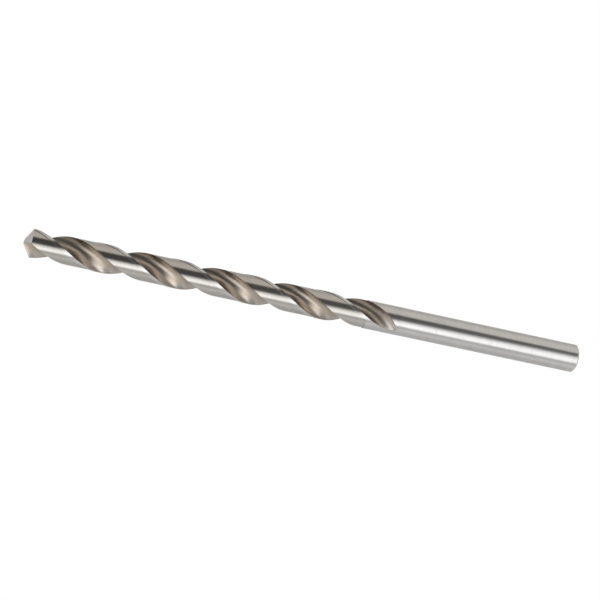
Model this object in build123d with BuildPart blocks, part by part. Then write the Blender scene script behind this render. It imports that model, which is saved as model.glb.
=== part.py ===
"""Long-series twist drill bit with two right-hand helical flutes, a ground point and a plain shank.

One solid, ground from one round bar. It lies along X: the centre of the shank end is the origin
and the point faces +X. A section is drawn square to X and turned to follow the helix, with its
local u axis along the first cutting lip and its local v axis ahead of it in the cutting turn.
The tools are made with u along Y at the tip, then turned about X by lip_direction.
Lengths are in millimetres and angles in degrees.
"""

from build123d import *
from math import acos, cos, degrees, pi, radians, sin, sqrt, tan
import os

# Bar
diameter = 8.4
overall_length = 165.0
shank_diameter = 8.37
shank_taper = 0.8
shank_to_flutes = 0.7
shank_chamfer = 0.45

# Flutes
flute_length = 109.0
helix_angle = 31.5
web_thickness_at_tip = 1.5
web_thickness_at_exit = 2.5
land_angle_at_tip = 83.5
land_angle_at_exit = 97.0
wheel_radius = 25.0

# Lands
margin_width = 0.85
clearance_depth = 0.17
clearance_end_gap = 9.4

# Point
point_angle = 118.0
grinding_cone_angle = 108.0
cone_setback = 1.7
cone_lead = 1.0
lip_direction = 111.0

radius = diameter / 2
helix_lead = pi * diameter / tan(radians(helix_angle))
lip_rise = 1 / tan(radians(point_angle / 2))
flute_start = overall_length - flute_length
shank_length = flute_start - shank_to_flutes - shank_taper
exit_depth = radius - web_thickness_at_exit / 2
exit_length = sqrt(2 * wheel_radius * exit_depth - exit_depth ** 2)
overrun = radius


def along_flute(at_tip, at_exit, x):
    """Value at station x of a size that changes evenly from the tip to the flutes' exit."""
    return at_exit + (at_tip - at_exit) * (x - flute_start) / flute_length


def half_web(x):
    """Half of the web's thickness at station x."""
    return along_flute(web_thickness_at_tip, web_thickness_at_exit, x) / 2


def rake_point(x, u):
    """Point of the rake face: the straight lip, carried along the helix into one section."""
    turn = 360 * lip_rise * u / helix_lead
    return Vector(u, half_web(x)).rotate(Axis.Z, turn)


def lead_angle(x):
    """Angle of a land's leading edge from the u axis, in the section at station x."""
    corner = rake_point(x, sqrt(radius ** 2 - half_web(x) ** 2))
    return degrees(acos(corner.X / corner.length))


def section_plane(x, extra_turn=0):
    """Plane square to the drill at station x, turned with the helix."""
    turn = radians(360 * (x - overall_length) / helix_lead + extra_turn)
    return Plane(origin=(x, 0, 0), x_dir=(0, cos(turn), sin(turn)), z_dir=(1, 0, 0))


def flute_section(x, lift):
    """Outline that the flute wheel sweeps at station x, lifted out of the bar by lift."""
    web = Vector(0, half_web(x))
    land_angle = along_flute(land_angle_at_tip, land_angle_at_exit, x)
    heel_angle = radians(lead_angle(x) + 180 - land_angle)
    heel = Vector(radius * cos(heel_angle), radius * sin(heel_angle))
    gullet_radius = (heel.X ** 2 + (heel.Y - web.Y) ** 2) / (2 * (heel.Y - web.Y))
    heel_normal = Vector(heel.X, heel.Y - web.Y - gullet_radius).normalized()
    heel_top = heel + Vector(heel_normal.Y, -heel_normal.X) * overrun * 1.5
    arc_angle = acos(-heel_normal.Y) / 2
    arc_middle = web + Vector(-sin(arc_angle), 1 - cos(arc_angle)) * gullet_radius
    span = radius + overrun
    rake = [rake_point(x, span * i / 5) for i in range(6)]
    shift = Vector(0, lift)
    with BuildSketch(section_plane(x, lead_angle(overall_length) - lead_angle(x))) as section:
        with BuildLine():
            Spline([p + shift for p in rake])
            ThreePointArc(web + shift, arc_middle + shift, heel + shift)
            Line(heel + shift, heel_top + shift)
            Line(heel_top + shift, Vector(rake[-1].X, heel_top.Y) + shift)
            Line(Vector(rake[-1].X, heel_top.Y) + shift, rake[-1] + shift)
        make_face()
    return section.sketch


def guide_helix(first, last):
    """Helix that keeps a section swept down the axis in turn with the lead."""
    return Wire([Edge.make_helix(helix_lead, first - last, 2 * radius, (last, 0, 0), (1, 0, 0))])


def flute_cutter():
    """One helical flute with the rising scoop where the wheel leaves the bar."""
    scoop_start = flute_start + exit_length
    tip = overall_length + overrun
    with BuildPart() as cutter:
        sweep(
            [flute_section(tip, 0), flute_section(scoop_start, 0)],
            path=Edge.make_line((tip, 0, 0), (scoop_start, 0, 0)),
            binormal=guide_helix(tip, scoop_start),
            multisection=True,
        )
        scoop = []
        for i in range(9):
            run = exit_length * 1.02 * i / 8
            lift = wheel_radius - sqrt(wheel_radius ** 2 - run ** 2)
            scoop.append(flute_section(scoop_start - run, lift))
        loft(scoop)
    return cutter.part


def clearance_cutter():
    """Helical wedge over the stretch of land that is ground off behind its margin."""
    end = flute_start + clearance_end_gap
    tip = overall_length + overrun
    margin = degrees(margin_width / cos(radians(helix_angle)) / radius)
    first = lead_angle(overall_length) - margin
    last = lead_angle(overall_length) - land_angle_at_exit - margin
    with BuildPart() as wedge:
        with BuildSketch(section_plane(tip)):
            with BuildLine():
                Polyline(
                    Vector(radius / 2, 0).rotate(Axis.Z, first),
                    Vector(radius + overrun, 0).rotate(Axis.Z, first),
                    Vector(radius + overrun, 0).rotate(Axis.Z, last),
                    Vector(radius / 2, 0).rotate(Axis.Z, last),
                    close=True,
                )
            make_face()
        sweep(path=Edge.make_line((tip, 0, 0), (end, 0, 0)), binormal=guide_helix(tip, end))
    return wedge.part


def point_cutter():
    """Waste around the tip, outside the cone that backs one flank off behind its lip."""
    cone_half = radians(grinding_cone_angle / 2)
    tilt = radians(point_angle / 2) - cone_half
    a = cos(tilt) ** 2 - cos(cone_half) ** 2
    b = 2 * cos(tilt) * sin(tilt) * cone_setback
    c = (sin(tilt) * cone_setback) ** 2 - cos(cone_half) ** 2 * (cone_setback ** 2 + cone_lead ** 2)
    web_depth = (-b + sqrt(b ** 2 - 4 * a * c)) / (2 * a)
    apex = Vector(overall_length + web_depth, -cone_setback, cone_lead)
    axis = Vector(-cos(tilt), sin(tilt), 0)
    cone_height = 5 * radius
    base = Plane(origin=apex + axis * cone_height, z_dir=-axis)
    waste_start = overall_length - 2 * radius
    with BuildPart() as waste:
        with BuildSketch(Plane.YZ.offset(waste_start)):
            Circle(1.5 * radius)
        extrude(amount=3 * radius)
        with Locations(base):
            Cone(
                cone_height * tan(cone_half),
                0,
                cone_height,
                align=(Align.CENTER, Align.CENTER, Align.MIN),
                mode=Mode.SUBTRACT,
            )
    return waste.part


flute_tool = flute_cutter()
clearance_wedge = clearance_cutter()
point_tool = point_cutter()

with BuildPart() as body_clearance:
    with BuildSketch(Plane.YZ):
        Circle(1.4 * radius)
        Circle(radius - clearance_depth, mode=Mode.SUBTRACT)
    extrude(amount=overall_length + overrun)
    add(clearance_wedge, mode=Mode.INTERSECT)

with BuildPart() as drill_bit:
    # Round bar with a slightly slimmer shank, which has a chamfered end
    shank_radius = shank_diameter / 2
    bar_end = overall_length + radius / 2
    with BuildSketch(Plane.XY):
        with BuildLine():
            Polyline(
                (0, 0),
                (0, shank_radius - shank_chamfer),
                (shank_chamfer, shank_radius),
                (shank_length, shank_radius),
                (shank_length + shank_taper, radius),
                (bar_end, radius),
                (bar_end, 0),
                close=True,
            )
        make_face()
    revolve(axis=Axis.X)
    # Lands, flutes and point, each ground twice, half a turn apart
    for tool in (body_clearance.part, flute_tool, point_tool):
        for turn in (lip_direction, lip_direction + 180):
            add(tool.rotate(Axis.X, turn), mode=Mode.SUBTRACT)

drill_bit.part.label = "drill_bit"
os.makedirs("parts", exist_ok=True)
export_step(drill_bit.part, "parts/drill_bit.step")
print("solids", len(drill_bit.part.solids()), "volume", drill_bit.part.volume)
print("box", drill_bit.part.bounding_box())
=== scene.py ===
"""Looks of a ground high-speed-steel twist drill bit, lying on a white table.

Lengths are in metres, in the row frame: X runs along the drill from its shank end to its point.
"""

import cmath
import math

import bmesh
import bpy
from mathutils import Matrix, Vector


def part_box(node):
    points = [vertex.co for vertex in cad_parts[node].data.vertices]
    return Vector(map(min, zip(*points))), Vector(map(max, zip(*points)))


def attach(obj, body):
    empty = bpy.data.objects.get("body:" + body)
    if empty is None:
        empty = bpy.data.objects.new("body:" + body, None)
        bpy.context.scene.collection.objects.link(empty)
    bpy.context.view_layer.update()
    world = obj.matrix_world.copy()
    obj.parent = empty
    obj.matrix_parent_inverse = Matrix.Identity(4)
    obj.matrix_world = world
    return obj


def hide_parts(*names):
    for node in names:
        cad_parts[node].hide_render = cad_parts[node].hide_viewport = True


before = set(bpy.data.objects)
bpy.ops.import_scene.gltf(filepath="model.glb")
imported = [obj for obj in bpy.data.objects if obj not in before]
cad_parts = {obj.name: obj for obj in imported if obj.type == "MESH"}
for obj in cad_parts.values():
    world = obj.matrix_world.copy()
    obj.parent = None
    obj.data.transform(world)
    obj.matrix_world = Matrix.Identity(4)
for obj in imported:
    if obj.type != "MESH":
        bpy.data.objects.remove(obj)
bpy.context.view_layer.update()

low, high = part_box("drill_bit")
LENGTH = high.x
RADIUS = high.z

# Form of the drill, as it was ground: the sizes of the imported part's source
FLUTE_LENGTH = 0.109
FLUTE_START = LENGTH - FLUTE_LENGTH
HELIX_ANGLE = math.radians(31.5)
HELIX_LEAD = 2 * math.pi * RADIUS / math.tan(HELIX_ANGLE)
WEB_AT_TIP = 0.0015
WEB_AT_EXIT = 0.0025
LAND_AT_TIP = math.radians(83.5)
LAND_AT_EXIT = math.radians(97)
WHEEL_RADIUS = 0.025
EXIT_DEPTH = RADIUS - WEB_AT_EXIT / 2
SCOOP_START = FLUTE_START + math.sqrt(2 * WHEEL_RADIUS * EXIT_DEPTH - EXIT_DEPTH**2)
MARGIN_WIDTH = 0.00085
MARGIN_ANGLE = MARGIN_WIDTH / math.cos(HELIX_ANGLE) / RADIUS
CLEARANCE_DEPTH = 0.00017
CLEARANCE_END = FLUTE_START + 0.0094
SHANK_RADIUS = 0.004185
SHANK_CHAMFER = 0.00045
SHANK_TAPER = 0.0008
SHANK_TO_FLUTES = 0.0007
SHANK_END = FLUTE_START - SHANK_TO_FLUTES - SHANK_TAPER
POINT_ANGLE = math.radians(118)
LIP_RISE = 1 / math.tan(POINT_ANGLE / 2)
LIP_DIRECTION = math.radians(111)
CONE_HALF_ANGLE = math.radians(54)
CONE_TILT = POINT_ANGLE / 2 - CONE_HALF_ANGLE
CONE_SETBACK = 0.0017
CONE_LEAD = 0.001
POINT_DEPTH = 0.0036

# Fineness of the mesh
STATION_STEP = 0.0003
FLUTE_POINTS = 30
LAND_POINTS = 26
MARGIN_POINTS = 5
POINT_ZONE = 0.006
POINT_STATIONS = 18
FLANK_RINGS = 14
SHANK_SIDES = 128
HALVINGS = 40
END_PASSES = 30
MERGE_DISTANCE = 2e-7
SHARP_ANGLE = math.radians(22)

DEGREES = 180 / math.pi

# Camera
CAMERA_PLACE = Vector((0.13444, 0.26098, 0.22069))
CAMERA_AIM = Vector((0.08497, -0.00004, 0.00004))
CAMERA_ROLL = math.radians(18.93)
FOCAL_LENGTH = 71.45
SENSOR_WIDTH = 36.0

# Colours
STEEL = (0.65, 0.64, 0.632)
LAND_STEEL = (0.57, 0.543, 0.512)
HEEL_STEEL = (0.66, 0.61, 0.56)
GULLET_STEEL = (0.57, 0.495, 0.42)
WHITE = (1.0, 1.0, 1.0)
WARM_WHITE = (1.045, 1.0, 0.945)
BLACK = (0.0, 0.0, 0.0)
TABLE = (0.6, 0.6, 0.6)

# Steel
BARE_ROUGHNESS = 0.17
LINE_ROUGHNESS = 0.04
FLUTE_ROUGHNESS = 0.03
GULLET_ROUGHNESS = 0.1
SCOOP_ROUGHNESS = 0.13
POINT_ROUGHNESS = 0.15
EDGE_ROUGHNESS = 0.3
ROUND_LINE_SCALE = 9000.0
ROUND_LINE_TURN = 0.6
HELIX_LINE_TURN = 34.0
HELIX_LINE_SCALE = 16000.0
STAIN_SCALE = 420.0

# Table and lights
TABLE_SIZE = 6.0
TABLE_GLOW = 0.48
CAMERA_GLOW = 1.03
CAMERA_SHARE = 0.93
LAMP_PLACE = (1.3, -0.1, 0.25)
LAMP_SIZE = 0.2
LAMP_POWER = 3.0


def along_flute(at_tip, at_exit, x):
    """Value at station x of a size that changes evenly from the tip to the flutes' exit."""
    return at_exit + (at_tip - at_exit) * (x - FLUTE_START) / FLUTE_LENGTH


def half_web(x):
    """Half of the web's thickness at station x."""
    return along_flute(WEB_AT_TIP, WEB_AT_EXIT, x) / 2


def rake_point(x, u):
    """Point of the rake face in the section at x, as a complex number: the lip carried along the helix."""
    return complex(u, half_web(x)) * cmath.exp(2j * math.pi * LIP_RISE * u / HELIX_LEAD)


def lead_angle(x):
    """Angle of a land's leading edge in the section at x."""
    return cmath.phase(rake_point(x, math.sqrt(RADIUS**2 - half_web(x) ** 2)))


def section_turn(x):
    """How far the section at x is turned about the drill's axis."""
    return 2 * math.pi * (x - LENGTH) / HELIX_LEAD + lead_angle(LENGTH) - lead_angle(x) + LIP_DIRECTION


def flute_curve(x):
    """The flute's outline at x as a function: along the rake face above 0, along the gullet below 0."""
    web = complex(0, half_web(x))
    heel = cmath.rect(RADIUS, lead_angle(x) + math.pi - along_flute(LAND_AT_TIP, LAND_AT_EXIT, x))
    gullet = abs(heel - web) ** 2 / (2 * (heel - web).imag)
    centre = web + 1j * gullet
    heel_turn = -cmath.phase((heel - centre) * 1j)
    run = max(SCOOP_START - x, 0)
    lift = 1j * (WHEEL_RADIUS - math.sqrt(WHEEL_RADIUS**2 - run**2))

    def place(way):
        if way >= 0:
            return rake_point(x, way) + lift
        turn = min(-way / gullet, heel_turn)
        outward = cmath.exp(-1j * turn) * -1j
        return centre + gullet * outward - 1j * outward * (-way - turn * gullet) + lift

    return place


def reach(curve, limit, side):
    """How far the flute's outline runs on one side before it leaves a circle."""
    if abs(curve(0)) >= limit:
        return 0.0
    inner, outer = 0.0, 2.2 * RADIUS
    for _ in range(HALVINGS):
        middle = (inner + outer) / 2
        if abs(curve(side * middle)) < limit:
            inner = middle
        else:
            outer = middle
    return side * inner


def section(x, relieved):
    """Points round the drill at x: a flute, the land behind it and the next margin, then the same again."""
    curve = flute_curve(x)
    land_radius = RADIUS - CLEARANCE_DEPTH * relieved
    first, last = reach(curve, RADIUS, 1), reach(curve, land_radius, -1)
    points = [curve(first + (last - first) * i / FLUTE_POINTS) for i in range(FLUTE_POINTS + 1)]
    heel = cmath.phase(points[-1])
    margin_start = lead_angle(x) + math.pi - MARGIN_ANGLE
    margin_end = cmath.phase(points[0]) + math.pi
    if first == last:
        margin_start = margin_end - MARGIN_ANGLE
    for i in range(1, LAND_POINTS + 1):
        points.append(cmath.rect(land_radius, heel + (margin_start - heel) * i / LAND_POINTS))
    for i in range(MARGIN_POINTS + 1):
        points.append(cmath.rect(RADIUS, margin_start + (margin_end - margin_start) * i / MARGIN_POINTS))
    return points + [-p for p in points]


def flank_height(place):
    """Station of the ground point over a place in the section: under the nearer of its two cones."""
    heights = []
    for side in (place, -place):
        local = side * cmath.exp(-1j * LIP_DIRECTION)
        across = local.real + CONE_SETBACK
        ahead = local.imag - CONE_LEAD
        spread = math.cos(CONE_HALF_ANGLE) ** 2
        a = math.cos(CONE_TILT) ** 2 - spread
        b = -math.sin(2 * CONE_TILT) * across
        c = (across * math.sin(CONE_TILT)) ** 2 - spread * (across**2 + ahead**2)
        heights.append((-b - math.sqrt(b * b - 4 * a * c)) / (2 * a))
    return min(heights)


def drill_rings():
    """Rings of points from the flutes' exit to the middle of the point."""
    zone = LENGTH - POINT_ZONE
    rings = []
    for start, end, relieved in ((FLUTE_START, CLEARANCE_END, False), (CLEARANCE_END, zone, True)):
        steps = math.ceil((end - start) / STATION_STEP)
        for i in range(steps + 1):
            x = start + (end - start) * i / steps
            turn = cmath.exp(1j * section_turn(x))
            rings.append([(x, p * turn) for p in section(x, relieved)])

    near, far = section(zone, True), section(LENGTH, True)
    web_height = flank_height(0j)
    ends = []
    for a, b in zip(near, far):
        x = LENGTH
        for _ in range(END_PASSES):
            place = (a + (b - a) * (x - zone) / POINT_ZONE) * cmath.exp(1j * section_turn(x))
            x = LENGTH + flank_height(place) - web_height
        ends.append(x)
    for i in range(1, POINT_STATIONS + 1):
        ring = []
        for a, b, end in zip(near, far, ends):
            x = zone + (end - zone) * i / POINT_STATIONS
            place = (a + (b - a) * (x - zone) / POINT_ZONE) * cmath.exp(1j * section_turn(x))
            ring.append((x, place))
        rings.append(ring)
    outline = [place for _, place in rings[-1]]
    for i in range(1, FLANK_RINGS + 1):
        size = 1 - i / FLANK_RINGS
        rings.append([(LENGTH + flank_height(p * size) - web_height, p * size) for p in outline])
    return rings


def shank_rings():
    """Rings of points of the shank, from the middle of its end face to the flutes' exit."""
    profile = (
        (0, 0),
        (0, SHANK_RADIUS - SHANK_CHAMFER),
        (SHANK_CHAMFER, SHANK_RADIUS),
        (SHANK_END, SHANK_RADIUS),
        (SHANK_END + SHANK_TAPER, RADIUS),
        (FLUTE_START, RADIUS),
    )
    return [
        [(x, cmath.rect(r, 2 * math.pi * i / SHANK_SIDES)) for i in range(SHANK_SIDES)] for x, r in profile
    ]


def skin(mesh, rings):
    """Faces between rings of points, each point a station and a complex place in its section."""
    rows = [[mesh.verts.new((x, p.real, p.imag)) for x, p in ring] for ring in rings]
    for row, following in zip(rows, rows[1:]):
        for i, corner in enumerate(row):
            mesh.faces.new((row[i - 1], corner, following[i], following[i - 1]))


def add_drill():
    """The whole drill as one smooth mesh with sharp ground edges."""
    mesh = bmesh.new()
    skin(mesh, shank_rings())
    skin(mesh, drill_rings())
    bmesh.ops.remove_doubles(mesh, verts=mesh.verts, dist=MERGE_DISTANCE)
    bmesh.ops.recalc_face_normals(mesh, faces=mesh.faces)
    data = bpy.data.meshes.new("ground_drill")
    mesh.to_mesh(data)
    mesh.free()
    data.shade_smooth()
    data.set_sharp_from_angle(angle=SHARP_ANGLE)
    drill = bpy.data.objects.new("ground_drill", data)
    bpy.context.collection.objects.link(drill)
    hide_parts("drill_bit")
    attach(drill, "root")
    return drill


class Field:
    """A number in a node tree that can be added to, multiplied and compared."""

    def __init__(self, tree, socket):
        self.tree = tree
        self.socket = socket

    def maths(self, operation, *others):
        """A Math node on this value and others."""
        node = self.tree.nodes.new("ShaderNodeMath")
        node.operation = operation
        for slot, value in zip(node.inputs, (self, *others)):
            plug(self.tree, slot, value)
        return Field(self.tree, node.outputs[0])

    def __add__(self, other):
        return self.maths("ADD", other)

    def __sub__(self, other):
        return self.maths("SUBTRACT", other)

    def __rsub__(self, other):
        return (self * -1.0).maths("ADD", other)

    def __mul__(self, other):
        return self.maths("MULTIPLY", other)

    def __truediv__(self, other):
        return self.maths("DIVIDE", other)

    def ramp(self, start, end, low=0.0, high=1.0):
        """Smooth change from low to high while this value goes from start to end."""
        node = self.tree.nodes.new("ShaderNodeMapRange")
        node.interpolation_type = "SMOOTHSTEP"
        plug(self.tree, node.inputs["Value"], self)
        node.inputs["From Min"].default_value = start
        node.inputs["From Max"].default_value = end
        node.inputs["To Min"].default_value = low
        node.inputs["To Max"].default_value = high
        return Field(self.tree, node.outputs["Result"])


def plug(tree, slot, value):
    """Connects a value to an input, or sets the input to a constant."""
    if isinstance(value, Field):
        tree.links.new(value.socket, slot)
    else:
        slot.default_value = value


def node(tree, kind, outputs, settings=None, **inputs):
    """Adds a node and returns the named outputs as fields."""
    made = tree.nodes.new(kind)
    for name, value in (settings or {}).items():
        setattr(made, name, value)
    for name, value in inputs.items():
        plug(tree, made.inputs[name.replace("_", " ")], value)
    fields = [Field(tree, made.outputs[name]) for name in outputs.split(",")]
    return fields[0] if len(fields) == 1 else fields


def vector(tree, x, y, z):
    """A vector made from three values."""
    return node(tree, "ShaderNodeCombineXYZ", "Vector", X=x, Y=y, Z=z)


def noise(tree, place, scale, detail=2.0):
    """Smooth random value from 0 to 1 at a place."""
    return node(tree, "ShaderNodeTexNoise", "Fac", Vector=place, Scale=scale, Detail=detail)


def mix_colour(tree, amount, first, second):
    """Blend from the first colour to the second."""
    made = tree.nodes.new("ShaderNodeMix")
    made.data_type = "RGBA"
    plug(tree, made.inputs["Factor"], amount)
    for slot, value in (("A", first), ("B", second)):
        target = [s for s in made.inputs if s.name == slot and s.type == "RGBA"][0]
        plug(tree, target, value if isinstance(value, Field) else (*value, 1.0))
    return Field(tree, [s for s in made.outputs if s.type == "RGBA"][0])


def ground_steel():
    """Bright steel: turned grinding lines outside, browner helical ones in the flutes."""
    material = bpy.data.materials.new("ground_steel")
    material.use_nodes = True
    tree = material.node_tree
    shader = tree.nodes["Principled BSDF"]
    place = node(tree, "ShaderNodeTexCoord", "Object")
    x, y, z = node(tree, "ShaderNodeSeparateXYZ", "X,Y,Z", Vector=place)
    normal = node(tree, "ShaderNodeNewGeometry", "Normal")
    normal_x, normal_y, normal_z = node(tree, "ShaderNodeSeparateXYZ", "X,Y,Z", Vector=normal)
    radius = (y * y + z * z).maths("SQRT")
    turn = z.maths("ARCTAN2", y)
    helix = turn - x * (2 * math.pi / HELIX_LEAD)

    # Where each grinding wheel has been
    outward = (normal_y * y + normal_z * z) / radius
    point = normal_x.ramp(0.52, 0.58) * x.ramp(LENGTH - POINT_DEPTH - 0.0001, LENGTH - POINT_DEPTH)
    end_face = x.ramp(SHANK_CHAMFER, SHANK_CHAMFER + 0.0001, 1.0, 0.0)
    outside = outward.ramp(0.93, 0.96) * radius.ramp(RADIUS - 0.0004, RADIUS - 0.0003)
    flute = (1.0 - outside) * (1.0 - point) * (1.0 - end_face)
    gullet = flute * radius.ramp(0.0018, 0.0036, 1.0, 0.0)
    edge = flute * radius.ramp(RADIUS - CLEARANCE_DEPTH - 0.00001, RADIUS - CLEARANCE_DEPTH + 0.00001)
    land = outside * x.ramp(CLEARANCE_END - 0.0001, CLEARANCE_END)
    margin = land * radius.ramp(RADIUS - CLEARANCE_DEPTH * 0.6, RADIUS - CLEARANCE_DEPTH * 0.4)

    # Grinding lines
    round_place = vector(tree, x * ROUND_LINE_SCALE, radius * ROUND_LINE_SCALE, turn * ROUND_LINE_TURN)
    round_lines = noise(tree, round_place, 1.0, 3.0)
    helix_sine, helix_cosine = helix.maths("SINE"), helix.maths("COSINE")
    helix_place = vector(
        tree, helix_sine * HELIX_LINE_TURN, helix_cosine * HELIX_LINE_TURN, radius * HELIX_LINE_SCALE
    )
    flute_lines = noise(tree, helix_place, 1.0, 3.0)
    stains = noise(tree, place, STAIN_SCALE, 3.0)

    colour = mix_colour(tree, land * (1.0 - margin), STEEL, LAND_STEEL)
    colour = mix_colour(tree, flute, colour, HEEL_STEEL)
    colour = mix_colour(tree, gullet, colour, GULLET_STEEL)
    colour = mix_colour(tree, point, colour, LAND_STEEL)
    shade = 1.0 - stains.ramp(0.35, 0.7) * 0.05 - round_lines.ramp(0.35, 0.7) * 0.09 * (1.0 - flute)
    shade = shade - flute_lines.ramp(0.35, 0.65) * 0.2 * flute
    colour = mix_colour(tree, shade, BLACK, colour)
    plug(tree, shader.inputs["Base Color"], colour)
    shader.inputs["Metallic"].default_value = 1.0
    scoop = flute * x.ramp(FLUTE_START, SCOOP_START, 1.0, 0.0)
    rough = flute * FLUTE_ROUGHNESS + BARE_ROUGHNESS + gullet * GULLET_ROUGHNESS + scoop * SCOOP_ROUGHNESS
    rough = rough + point * POINT_ROUGHNESS + edge * EDGE_ROUGHNESS + round_lines * LINE_ROUGHNESS
    plug(tree, shader.inputs["Roughness"], rough)
    return material


def table_top():
    """Faintly lit and faintly glowing white table: plain white to the camera apart from a faint shadow by
    the drill, partly cast and partly painted shade.
    """
    material = bpy.data.materials.new("table")
    material.use_nodes = True
    tree = material.node_tree
    shader = tree.nodes["Principled BSDF"]
    place = node(tree, "ShaderNodeTexCoord", "Object")
    aside = node(tree, "ShaderNodeSeparateXYZ", "Y", Vector=place).maths("ABSOLUTE")
    # Painted shade: the table's colour and glow are darker within a few millimetres of the drill, a painted
    # contact shadow, and darker again from 12 millimetres outward (0.8 beyond 19), a painted band that
    # darkens the drill's reflection of the table.
    shade = aside.ramp(0.0035, 0.012, 0.8, 1.0) * aside.ramp(0.012, 0.019, 1.0, 0.8)
    plug(tree, shader.inputs["Base Color"], mix_colour(tree, shade, BLACK, TABLE))
    plug(tree, shader.inputs["Emission Color"], mix_colour(tree, shade, BLACK, WHITE))
    shader.inputs["Emission Strength"].default_value = TABLE_GLOW
    shader.inputs["Roughness"].default_value = 1.0
    shader.inputs["Specular IOR Level"].default_value = 0.0
    glow = tree.nodes.new("ShaderNodeEmission")
    glow.inputs["Strength"].default_value = CAMERA_GLOW
    mix = tree.nodes.new("ShaderNodeMixShader")
    camera_ray = node(tree, "ShaderNodeLightPath", "Is Camera Ray")
    plug(tree, mix.inputs["Fac"], camera_ray * CAMERA_SHARE)
    tree.links.new(shader.outputs["BSDF"], mix.inputs[1])
    tree.links.new(glow.outputs["Emission"], mix.inputs[2])
    tree.links.new(mix.outputs["Shader"], tree.nodes["Material Output"].inputs["Surface"])
    return material


def light_tent():
    """World: white to the camera. Around the drill a long soft panel, a dark gap and a warm wall."""
    world = bpy.data.worlds.new("light_tent")
    world.use_nodes = True
    tree = world.node_tree
    back = tree.nodes["Background"]
    direction = node(tree, "ShaderNodeTexCoord", "Generated")
    x, y, z = node(tree, "ShaderNodeSeparateXYZ", "X,Y,Z", Vector=direction)
    height = z.maths("ARCTAN2", y) * DEGREES
    along = x.maths("ARCSINE") * DEGREES
    top = along.ramp(-38.0, -8.0, 77.0, 40.0)
    foot = along.ramp(-60.0, -18.0, 46.0, 0.0)

    panel = (top - height).ramp(-12.0, 10.0, 0.0, 0.98) + (top - height).ramp(6.0, 24.0, 0.0, 0.44)
    panel = panel * (height - foot).ramp(-5.0, 7.0, 0.2, 1.0)
    panel = panel * along.ramp(-62.0, -52.0) * along.ramp(14.0, 44.0, 1.0, 0.0)
    panel = panel * (along.ramp(-20.0, -6.0, 1.0, 1.17) + along.ramp(-38.0, -24.0, 0.25, 0.0))
    wall = (height - along.ramp(-22.0, 0.0, 88.0, 96.0)).ramp(-8.0, 8.0)
    wall = wall * height.ramp(125.0, 180.0, 1.0, 0.62) * along.ramp(3.0, 40.0, 0.62, 0.12)
    dim = along.ramp(-30.0, 5.0, 0.14, 0.07) + along.ramp(-62.0, -54.0, 0.2, 0.0)
    tent = dim + panel + wall
    camera_ray = node(tree, "ShaderNodeLightPath", "Is Camera Ray")
    plug(tree, back.inputs["Strength"], tent * (1.0 - camera_ray) + camera_ray)
    warmth = height.ramp(62.0, 85.0) * (1.0 - camera_ray)
    plug(tree, back.inputs["Color"], mix_colour(tree, warmth, WHITE, WARM_WHITE))
    bpy.context.scene.world = world


def area_lamp(name, place, aim, size, power):
    """Square lamp at a place, facing aim."""
    data = bpy.data.lights.new(name, "AREA")
    data.shape = "SQUARE"
    data.size = size
    data.energy = power
    lamp = bpy.data.objects.new(name, data)
    lamp.location = place
    lamp.rotation_mode = "QUATERNION"
    lamp.rotation_quaternion = (Vector(aim) - Vector(place)).to_track_quat("-Z", "Y")
    bpy.context.collection.objects.link(lamp)


def add_camera():
    """Camera that looks down on the drill along its aim, rolled about it."""
    data = bpy.data.cameras.new("camera")
    data.lens = FOCAL_LENGTH
    data.sensor_width = SENSOR_WIDTH
    data.clip_start = 0.05
    data.clip_end = 20.0
    camera = bpy.data.objects.new("camera", data)
    camera.location = CAMERA_PLACE
    turn = (CAMERA_AIM - CAMERA_PLACE).to_track_quat("-Z", "Y").to_matrix().to_4x4()
    roll = Matrix.Rotation(CAMERA_ROLL, 4, "Z")
    camera.rotation_mode = "QUATERNION"
    camera.rotation_quaternion = (turn @ roll).to_quaternion()
    bpy.context.collection.objects.link(camera)
    bpy.context.scene.camera = camera


drill = add_drill()
drill.data.materials.append(ground_steel())

bpy.ops.mesh.primitive_plane_add(size=TABLE_SIZE, location=(LENGTH / 2, 0, low.z))
table = bpy.context.active_object
table.name = "table"
table.data.materials.append(table_top())

light_tent()
area_lamp("key", LAMP_PLACE, (LENGTH / 2, 0, 0), LAMP_SIZE, LAMP_POWER)
add_camera()
bpy.context.scene.view_settings.view_transform = "Standard"
